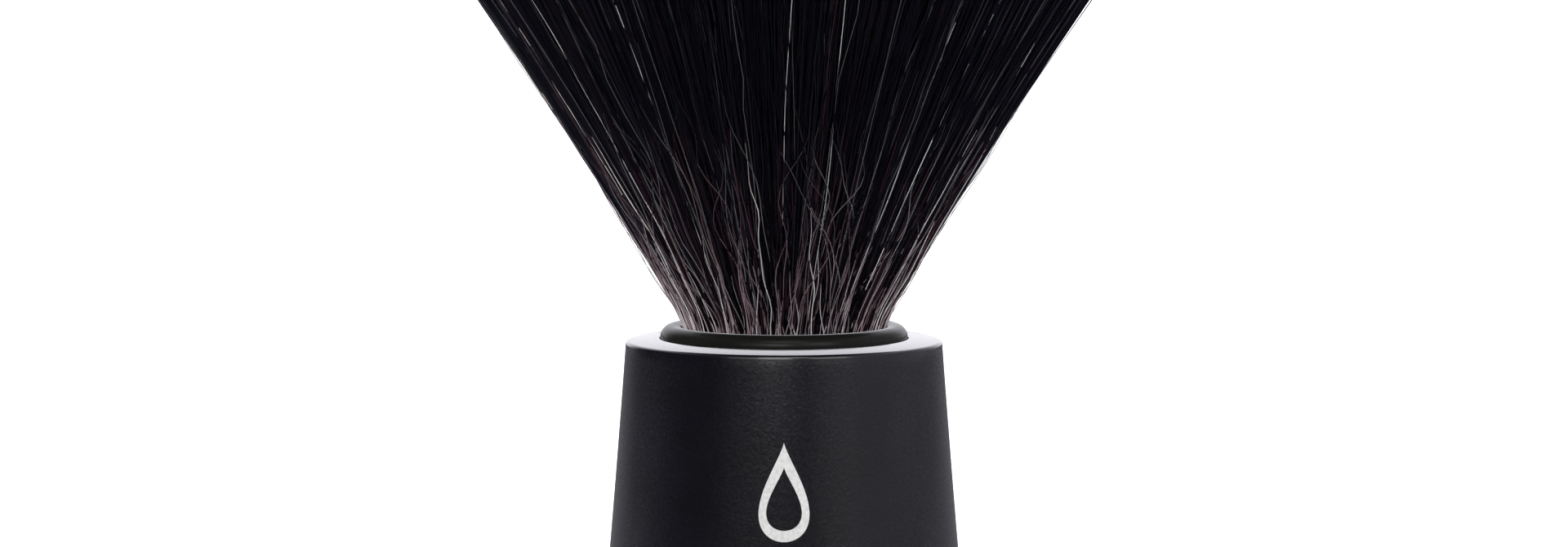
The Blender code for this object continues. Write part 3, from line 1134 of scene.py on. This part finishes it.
    def tubes(self, name: str, strands: Strands, tone: Tone) -> bpy.types.Mesh:
        """One mesh of closed three-sided tubes.

        Args:
            name: The mesh's name.
            strands: The fibres.
            tone: Their family.

        Returns:
            The mesh, in the frame's metres.
        """
        paths, sides = strands.paths, self.sides
        count, points, _ = paths.shape
        ahead = np.gradient(paths, axis=1)
        ahead /= np.linalg.norm(ahead, axis=2, keepdims=True)
        around = np.stack((-paths[..., 1], paths[..., 0], np.zeros((count, points))), axis=2)
        around -= ahead * np.sum(around * ahead, axis=2, keepdims=True)
        around /= np.maximum(np.linalg.norm(around, axis=2, keepdims=True), 1e-9)
        out = np.cross(around, ahead)
        corners = math.tau * np.arange(sides) / sides
        ring = np.cos(corners)[:, None] * out[:, :, None, :]
        ring = ring + np.sin(corners)[:, None] * around[:, :, None, :]
        places = (paths[:, :, None, :] + ring * strands.widths[:, :, None, None]) * MM
        places[..., 2] += DECK * MM
        numbers = np.arange(count * points * sides).reshape(count, points, sides)
        after = np.roll(numbers, -1, axis=2)
        quads = (numbers[:, :-1], numbers[:, 1:], after[:, 1:], after[:, :-1])
        walls = np.stack(quads, axis=3).reshape(-1, 4)
        ends = np.concatenate((numbers[:, 0], numbers[:, -1, ::-1]))
        indices = np.concatenate((walls.ravel(), ends.ravel()))
        mesh = bpy.data.meshes.new(name)
        mesh.vertices.add(places.size // 3)
        mesh.vertices.foreach_set("co", places.astype(np.float32).ravel())
        mesh.loops.add(len(indices))
        mesh.loops.foreach_set("vertex_index", indices.astype(np.int32))
        caps = walls.size + np.arange(len(ends)) * sides
        starts = np.concatenate((np.arange(len(walls)) * 4, caps))
        mesh.polygons.add(len(starts))
        mesh.polygons.foreach_set("loop_start", starts.astype(np.int32))
        # Each stretch takes its family's colour for its height: paler near the collar as painted
        # light and painted highlights.
        middle = (paths[:, 1:, 2] + paths[:, :-1, 2]) / 2 + strands.shift[:, None]
        stretch = np.digitize(middle, self.tone_heights)
        wall_stretch = np.repeat(stretch[:, :, None], sides, axis=2).ravel()
        stretches = np.concatenate((wall_stretch, stretch[:, 0], stretch[:, -1]))
        mesh.polygons.foreach_set("material_index", stretches.astype(np.int32))
        round_faces = np.arange(len(starts)) < len(walls)
        mesh.polygons.foreach_set("use_smooth", round_faces)
        mesh.update(calc_edges=True)
        for material in tone.materials():
            mesh.materials.append(material)
        return mesh

    def bend(self, piece: bpy.types.Object, upper: bool) -> None:
        """Sets whether a piece of the bundle is mirrored, and bakes its transform. The heights of
        its bend are worked out but not used.

        The lower ones aren't mirrored, so that the polished deck mirrors the room round it.

        Args:
            piece: The piece.
            upper: Whether it is the part above the cut.
        """
        piece.visible_glossy = upper
        heights = self.upper_bend if upper else self.lower_bend
        ends = [tuple(Shop.point(0.0, 0.0, height)) for height in heights]
        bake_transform(piece)

    def plant(self, name: str, strands: Strands, tone: Tone, upper: bool) -> None:
        """Makes fibres a piece of the knot.

        Args:
            name: The piece's name.
            strands: The fibres, all on one side of the cut.
            tone: Their family.
            upper: Whether they are above the cut.
        """
        self.bend(Shop.place(name, self.tubes(name, strands, tone)), upper)
        LOG.info("%s: %d fibres", name, len(strands.paths))

    def split(self, strands: Strands, points: tuple[int, int]) -> tuple[Strands, Strands]:
        """Cuts whole fibres in two, each at a height of its own where nothing bends.

        Args:
            strands: The fibres.
            points: Inner points to give the lower and the upper part. The shading beside an
                end face is askew, so the outermost of them lie close to the ends.

        Returns:
            The lower and the upper parts.
        """
        count = len(strands.paths)
        cuts = self.chance.uniform(*self.cut, count)
        heights = strands.paths[:, :, 2]
        parts = []
        reaches = ((heights[:, 0], cuts), (cuts, heights[:, -1]))
        for inside, (low, high) in zip(points, reaches):
            inner = np.linspace(self.end_margin, 1.0 - self.end_margin, inside)
            along = np.concatenate(([0.0], inner, [1.0]))
            wanted = low[:, None] + (high - low)[:, None] * along
            share = (wanted - heights[:, :1]) / (heights[:, -1:] - heights[:, :1])
            place = share * (heights.shape[1] - 1)
            below = np.clip(place.astype(int), 0, heights.shape[1] - 2)
            share = place - below
            rows = np.arange(count)[:, None]
            widths = strands.widths[rows, below] * (1 - share)
            widths += strands.widths[rows, below + 1] * share
            share = share[..., None]
            paths = strands.paths[rows, below] * (1 - share)
            paths += strands.paths[rows, below + 1] * share
            parts.append(Strands(paths, widths, strands.shift))
        return parts[0], parts[1]

    def plant_whole(self, layer: Layer, strands: Strands, tone: Tone) -> None:
        """Plants whole fibres as a lower and an upper piece.

        Args:
            layer: The layer, with its name and its points below and above the cut.
            strands: The fibres.
            tone: Their family.
        """
        lower, upper = self.split(strands, layer.points)
        name = f"{layer.name}_{tone.name.lower()}"
        self.plant(f"{name}_lower", lower, tone, False)
        self.plant(f"{name}_upper", upper, tone, True)

    def build_core(self) -> None:
        """The shaded inside of the bundle, in two pieces that meet at the cut."""
        middle = sum(self.cut) / 2
        below, above = middle - self.core_gap, middle + self.core_gap
        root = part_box("knot_root")[0].z / MM - DECK
        low, high = (corner.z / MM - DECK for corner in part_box("root_binding"))
        low, high = low - self.binding_gap, high + self.binding_gap
        wide = self.root_radius
        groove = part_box("root_binding")[1].x / MM - self.binding_depth
        lower: Outline = [(0.0, root), (wide, root), (wide, low), (groove, low)]
        lower += [(groove, high), (wide, high)]
        for height in spaced(self.flare_start, below, 20):
            narrowed = min(1.0, max(0.0, height / self.core_narrows))
            share = 1.0 + (self.core_share - 1.0) * narrowed
            lower.append((share * float(self.radius(np.array(height))), height))
        lower.append((0.0, below))
        rim = self.dome_edge - self.core_depth
        tall = self.dome_top - self.core_depth - rim
        upper: Outline = [(0.0, above)]
        for height in spaced(above, rim, 20):
            upper.append((self.core_share * float(self.radius(np.array(height))), height))
        edge = upper[-1][0]
        for turn in [math.radians(angle) for angle in spaced(0, 90, 16)][1:-1]:
            upper.append((edge * math.cos(turn), rim + tall * math.sin(turn)))
        upper.append((0.0, self.dome_top - self.core_depth))
        for name, outline, is_upper, nodes in (
            ("fibre_core_lower", lower, False, ("knot_root", "knot_waist")),
            ("fibre_core_upper", upper, True, ("knot_fan",)),
        ):
            mesh = Shop.lathe(name, outline, self.core_segments)
            mesh.materials.append(BUNDLE_SHADE.material())
            piece = Shop.place(name, mesh)
            self.bend(piece, is_upper)
            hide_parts(*nodes)
            LOG.info("%s: %d faces", name, len(mesh.polygons))

    def build_skirt(self, layer: Layer = SKIRT) -> None:
        """Whole fibres round the outside, from the collar to their tips."""
        for tone, count in layer.counts.items():
            shares = 1.0 - self.chance.beta(*self.skirt_skew, count) * self.skirt_depth
            ends = shares + self.chance.normal(0.0, layer.end_scatter, count)
            ends = np.minimum(ends, self.widest_end)
            turns = self.drift(self.turns(count), layer)
            tips = self.tip_height(ends) + self.chance.normal(0.0, layer.tip_scatter, count)
            crimp = self.crimp(layer, count)
            width = self.draw(layer.width, count)
            reach = (np.full(count, layer.start), tips)
            whole = self.grow((shares, ends), turns, reach, layer.steps, crimp, width)
            self.plant_whole(layer, whole, tone)

    def build_tips(self, layer: Layer = TIPS) -> None:
        """The ends of the inner fibres, which make the dome."""
        for tone, count in layer.counts.items():
            shares = np.sqrt(self.draw(layer.shares, count))
            ends = shares + self.chance.normal(0.0, layer.end_scatter, count)
            turns = self.drift(self.turns(count), layer)
            tips = self.tip_height(ends) + self.chance.normal(0.0, layer.tip_scatter, count)
            reach = (tips - self.core_depth - self.tip_overlap, tips)
            inner = self.grow((shares, ends), turns, reach, layer.steps)
            self.plant(f"{layer.name}_{tone.name.lower()}", inner, tone, True)

    def build_fringe(self, layer: Layer = FRINGE) -> None:
        """A sparse outer layer that lets light through, so that the fan's edge is soft. Its pale
        strands are painted highlights of the light behind.
        """
        for tone, count in layer.counts.items():
            shares, ends = self.draw(layer.shares, count), self.draw(layer.ends, count)
            turns = self.drift(self.turns(count), layer)
            tips = self.tip_height(ends) + self.chance.normal(0.0, layer.tip_scatter, count)
            crimp = self.crimp(layer, count)
            reach = (np.full(count, layer.start), tips)
            whole = self.grow((shares, ends), turns, reach, layer.steps, crimp, layer.width)
            self.plant_whole(layer, whole, tone)

    def build_kinks(self, layer: Layer = KINKS) -> None:
        """Crimped strands that lie over the skirt near the collar, some past the cut, pale as
        painted highlights.
        """
        least, *growth = self.kink_growth
        for tone, count in layer.counts.items():
            shares = self.draw(layer.shares, count)
            ends = np.minimum(shares - self.draw(self.kink_fall, count), 1.0)
            turns = self.drift(self.turns(count), layer)
            tops = np.clip(least + self.chance.gamma(*growth, count), *layer.reach)
            crimp = self.crimp(layer, count)
            width = self.draw(layer.width, count)
            reach = (np.full(count, layer.start), tops)
            strands = self.grow((shares, ends), turns, reach, layer.steps, crimp, width)
            short = tops < self.cut[0]
            self.plant(f"{layer.name}_{tone.name.lower()}", strands.subset(short), tone, False)
            longer = replace(layer, name=f"long_{layer.name}")
            self.plant_whole(longer, strands.subset(~short), tone)

    def build_curls(self, layer: Layer = CURLS) -> None:
        """A few loose strands that wander across the others, pale as painted highlights."""
        for tone, count in layer.counts.items():
            shares, ends = self.draw(layer.shares, count), self.draw(layer.ends, count)
            turns = self.drift(self.turns(count), layer)
            tops = self.draw(layer.reach, count)
            crimp = self.crimp(layer, count)
            reach = (self.draw(layer.starts(), count), tops)
            strands = self.grow((shares, ends), turns, reach, layer.steps, crimp, layer.width)
            self.plant_whole(layer, strands, tone)

    def build_strays(self, layer: Layer) -> None:
        """Fine straight fibres over the fan and along its edge, whole or only in part, pale as
        painted highlights.

        Args:
            layer: The kind of stray.
        """
        for tone, count in layer.counts.items():
            shares = self.draw(layer.shares, count)
            ends = self.widest_end - self.draw(layer.end_scatter, count)
            turns = self.drift(self.turns(count), layer)
            starts = self.draw(layer.starts(), count)
            tips = np.minimum(starts + self.draw(layer.reach, count), self.tip_height(ends))
            crimp = self.crimp(layer, count)
            reach = (starts, tips)
            whole = self.grow((shares, ends), turns, reach, layer.steps, crimp, layer.width)
            self.plant_whole(layer, whole, tone)

    def build_glints(self, layer: Layer = GLINTS) -> None:
        """Short pale stretches of fibre on the fan, all above the cut: painted highlights."""
        for tone, count in layer.counts.items():
            places = self.turns(count)
            starts = self.draw(layer.starts(), count)
            reach = (starts, starts + self.draw(layer.reach, count))
            shares = self.draw(layer.shares, count)
            turns = self.drift(places, layer)
            crimp = self.crimp(layer, count)
            short = self.grow((shares, shares), turns, reach, layer.steps, crimp, layer.width)
            self.plant(f"{layer.name}_{tone.name.lower()}", short, tone, True)

    def build(self) -> None:
        """Every group of fibres, from the inside out."""
        self.build_core()
        self.build_skirt()
        self.build_tips()
        self.build_fringe()
        self.build_kinks()
        self.build_curls()
        self.build_strays(STRAYS)
        self.build_strays(PALE_STRAYS)
        self.build_glints()


# ---------------------------------------------------------------- studio


@dataclass
class Studio:
    """A pale floor, soft lights and the camera."""

    aim_height: float = 6.55
    distance: float = 800.0
    tilt: float = 5.07
    view_width: float = 159.4
    clip: Span = (0.05, 20.0)
    sensor_width: float = 36.0
    floor_size: float = 8.0
    paper_bounce: Colour = (0.12, 0.12, 0.13)
    paper_white: Colour = (0.8, 0.8, 0.8)
    room_tint: Colour = (0.98, 0.97, 1.03)
    back_strength: float = 1.5
    right_strength: float = 0.45
    ceiling_strength: float = 0.3
    front_strength: float = 0.1
    room_strength: float = 0.03
    lamp_aim: float = 10.0

    def build_floor(self) -> None:
        """A wide floor that looks pale but bounces little light, so that black stays black."""
        half = self.floor_size / 2
        mesh = bpy.data.meshes.new("studio_floor")
        corners = [(-half, -half, 0), (half, -half, 0), (half, half, 0), (-half, half, 0)]
        mesh.from_pydata(corners, [], [(0, 1, 2, 3)])
        floor = Shop.place("studio_floor", mesh)
        material = bpy.data.materials.new("studio_paper")
        material.use_nodes = True
        recipe = Recipe(material.node_tree)
        shader = material.node_tree.nodes["Principled BSDF"]
        seen = recipe.node("ShaderNodeLightPath", {}, {}, "Is Camera Ray")
        for name, value in {
            "Base Color": recipe.mix(seen, self.paper_bounce, self.paper_white),
            "Roughness": 0.9,
            "Specular IOR Level": 0.1,
            "Emission Color": recipe.mix(seen, BLACK, self.paper_white),
            "Emission Strength": 1.0,
        }.items():
            recipe.feed(shader.inputs[name], value)
        mesh.materials.append(material)

    def build_world(self) -> None:
        """A white sweep behind the brush and a dim room round it.

        The camera sees plain white. What the brush mirrors is a bright back, a paler right side
        and ceiling, and a nearly dark front.
        """
        world = bpy.data.worlds.new("studio_room")
        world.use_nodes = True
        bpy.context.scene.world = world
        tree = world.node_tree
        recipe = Recipe(tree)
        way = recipe.node("ShaderNodeTexCoord", {}, {}, "Generated")
        depth = recipe.node("ShaderNodeSeparateXYZ", {}, {0: way}, "Y")
        outputs = depth.socket.node.outputs
        side, up = Value(recipe, outputs["X"]), Value(recipe, outputs["Z"])
        back = (side * side).spread(0.08, 0.5, 1.0, 0.0) * depth.spread(0.05, 0.3)
        right = side.spread(0.3, 0.75) * (1 - back)
        front = depth.spread(-0.95, -0.6, 1.0, 0.0)
        strength = back * self.back_strength + right * self.right_strength
        strength = strength + up.spread(0.5, 0.95) * self.ceiling_strength
        strength = strength + front * self.front_strength + self.room_strength
        seen = recipe.node("ShaderNodeLightPath", {}, {}, "Is Camera Ray")
        background = tree.nodes["Background"]
        recipe.feed(background.inputs["Color"], recipe.mix(seen, self.room_tint, WHITE))
        recipe.feed(background.inputs["Strength"], strength * (1 - seen) + seen)

    def lamp(
        self,
        name: str,
        place: Sequence[float],
        size: Span,
        power: float,
        mirrored: bool = True,
    ) -> None:
        """A soft rectangular lamp that faces the collar.

        Args:
            name: The lamp's name.
            place: Where it hangs, in millimetres above the deck.
            size: Its width and height, in millimetres.
            power: Watts.
            mirrored: Whether glossy surfaces mirror it.
        """
        light = bpy.data.lights.new(name, "AREA")
        light.shape, light.energy = "RECTANGLE", power
        light.size, light.size_y = size[0] * MM, size[1] * MM
        lamp = Shop.place(name, light)
        lamp.location = Shop.point(*place)
        way = Shop.point(0, 0, self.lamp_aim) - lamp.location
        lamp.rotation_euler = way.to_track_quat("-Z", "Y").to_euler()
        lamp.visible_camera = False
        lamp.visible_glossy = mirrored

    def build_lights(self) -> None:
        """A key at the right, a fill at the left, a top lamp, a small one for the collar's shine,
        and two side lamps that light the fibres without showing as streaks on the handle."""
        self.lamp("key_softbox", (480, -700, 420), (450, 450), 2.2)
        self.lamp("fill_softbox", (-420, -760, 380), (400, 400), 0.9)
        self.lamp("top_softbox", (0, -500, 700), (400, 300), 1.6)
        self.lamp("small_softbox", (-16, -150, 52), (60, 40), 0.075)
        self.lamp("left_edge_light", (-600, 120, 120), (300, 400), 4.6, False)
        self.lamp("right_edge_light", (600, 120, 120), (300, 400), 3.6, False)

    def build_camera(self) -> None:
        """The camera, level and a little above the deck."""
        camera = bpy.data.cameras.new("camera")
        camera.sensor_width = self.sensor_width
        camera.lens = self.sensor_width * self.distance / self.view_width
        camera.clip_start, camera.clip_end = self.clip
        tilt = math.radians(self.tilt)
        holder = Shop.place("camera", camera)
        aim = Shop.point(0.0, 0.0, self.aim_height)
        back = Vector((0.0, -math.cos(tilt), math.sin(tilt)))
        holder.location = aim + back * self.distance * MM
        holder.rotation_euler = (-back).to_track_quat("-Z", "Y").to_euler()
        bpy.context.scene.camera = holder
        bpy.context.scene.view_settings.view_transform = "Standard"

    def build(self) -> None:
        """The whole studio."""
        self.build_floor()
        self.build_world()
        self.build_lights()
        self.build_camera()


def main() -> None:
    """Builds the studio, the handle, the cartridge and the knot."""
    logging.basicConfig(level=logging.INFO, format="%(name)s %(message)s")
    Studio().build()
    handle = Handle()
    handle.build_shell()
    handle.build_mark()
    handle.dress()
    cartridge = Cartridge()
    cartridge.build_collar()
    cartridge.build_cup()
    cartridge.dress()
    Knot().build()


if __name__ == "__main__":
    main()
